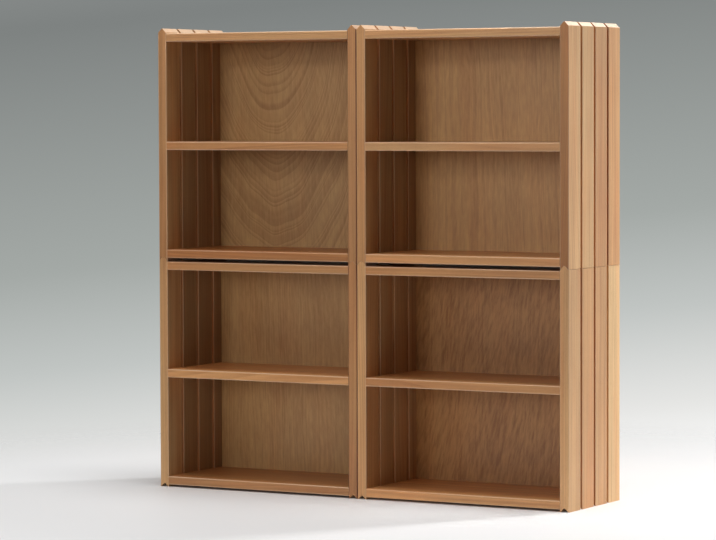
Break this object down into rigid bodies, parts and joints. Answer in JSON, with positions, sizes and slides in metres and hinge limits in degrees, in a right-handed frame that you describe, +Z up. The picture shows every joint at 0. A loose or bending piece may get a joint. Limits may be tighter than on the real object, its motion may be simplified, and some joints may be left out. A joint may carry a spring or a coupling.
{
  "type": "cd storage box",
  "caption": "Stacking wooden disc storage boxes standing as a cabinet: slatted sides with ridge and notch ends, open front, middle shelf and grooved back panel; boxes lift apart.",
  "frame": {"origin": "on the floor, midway between the two columns and midway through the depth", "axes": "+X to the right seen from the open front, +Y towards the back, +Z up"},
  "size_m": [0.761, 0.186, 0.7659],
  "materials": {
    "slat_wood": "oiled, satin",
    "board_wood": "oiled, satin",
    "panel_veneer": "veneer, satin",
    "dowel_wood": "plain"
  },
  "bodies": {
    "lower_left_box": {"lower_left_box_left_slat_1": "slat_wood", "lower_left_box_left_slat_2": "slat_wood", "lower_left_box_left_slat_3": "slat_wood", "lower_left_box_left_slat_4": "slat_wood", "lower_left_box_right_slat_1": "slat_wood", "lower_left_box_right_slat_2": "slat_wood", "lower_left_box_right_slat_3": "slat_wood", "lower_left_box_right_slat_4": "slat_wood", "lower_left_box_bottom_board": "board_wood", "lower_left_box_shelf": "board_wood", "lower_left_box_top_board": "board_wood", "lower_left_box_back_panel": "panel_veneer", "lower_left_box_dowels": "dowel_wood"},
    "lower_right_box": {"lower_right_box_left_slat_1": "slat_wood", "lower_right_box_left_slat_2": "slat_wood", "lower_right_box_left_slat_3": "slat_wood", "lower_right_box_left_slat_4": "slat_wood", "lower_right_box_right_slat_1": "slat_wood", "lower_right_box_right_slat_2": "slat_wood", "lower_right_box_right_slat_3": "slat_wood", "lower_right_box_right_slat_4": "slat_wood", "lower_right_box_bottom_board": "board_wood", "lower_right_box_shelf": "board_wood", "lower_right_box_top_board": "board_wood", "lower_right_box_back_panel": "panel_veneer", "lower_right_box_dowels": "dowel_wood"},
    "upper_left_box": {"upper_left_box_left_slat_1": "slat_wood", "upper_left_box_left_slat_2": "slat_wood", "upper_left_box_left_slat_3": "slat_wood", "upper_left_box_left_slat_4": "slat_wood", "upper_left_box_right_slat_1": "slat_wood", "upper_left_box_right_slat_2": "slat_wood", "upper_left_box_right_slat_3": "slat_wood", "upper_left_box_right_slat_4": "slat_wood", "upper_left_box_bottom_board": "board_wood", "upper_left_box_shelf": "board_wood", "upper_left_box_top_board": "board_wood", "upper_left_box_back_panel": "panel_veneer", "upper_left_box_dowels": "dowel_wood"},
    "upper_right_box": {"upper_right_box_left_slat_1": "slat_wood", "upper_right_box_left_slat_2": "slat_wood", "upper_right_box_left_slat_3": "slat_wood", "upper_right_box_left_slat_4": "slat_wood", "upper_right_box_right_slat_1": "slat_wood", "upper_right_box_right_slat_2": "slat_wood", "upper_right_box_right_slat_3": "slat_wood", "upper_right_box_right_slat_4": "slat_wood", "upper_right_box_bottom_board": "board_wood", "upper_right_box_shelf": "board_wood", "upper_right_box_top_board": "board_wood", "upper_right_box_back_panel": "panel_veneer", "upper_right_box_dowels": "dowel_wood"}
  },
  "joints": [
    {"name": "right_column_slide", "type": "slide", "parent": "lower_left_box", "child": "lower_right_box", "axis": [1, 0, 0], "range_m": [0, 0.12]},
    {"name": "upper_left_lift", "type": "slide", "parent": "lower_left_box", "child": "upper_left_box", "axis": [0, 0, 1], "range_m": [0, 0.1]},
    {"name": "upper_right_lift", "type": "slide", "parent": "lower_right_box", "child": "upper_right_box", "axis": [0, 0, 1], "range_m": [0, 0.1]}
  ]
}
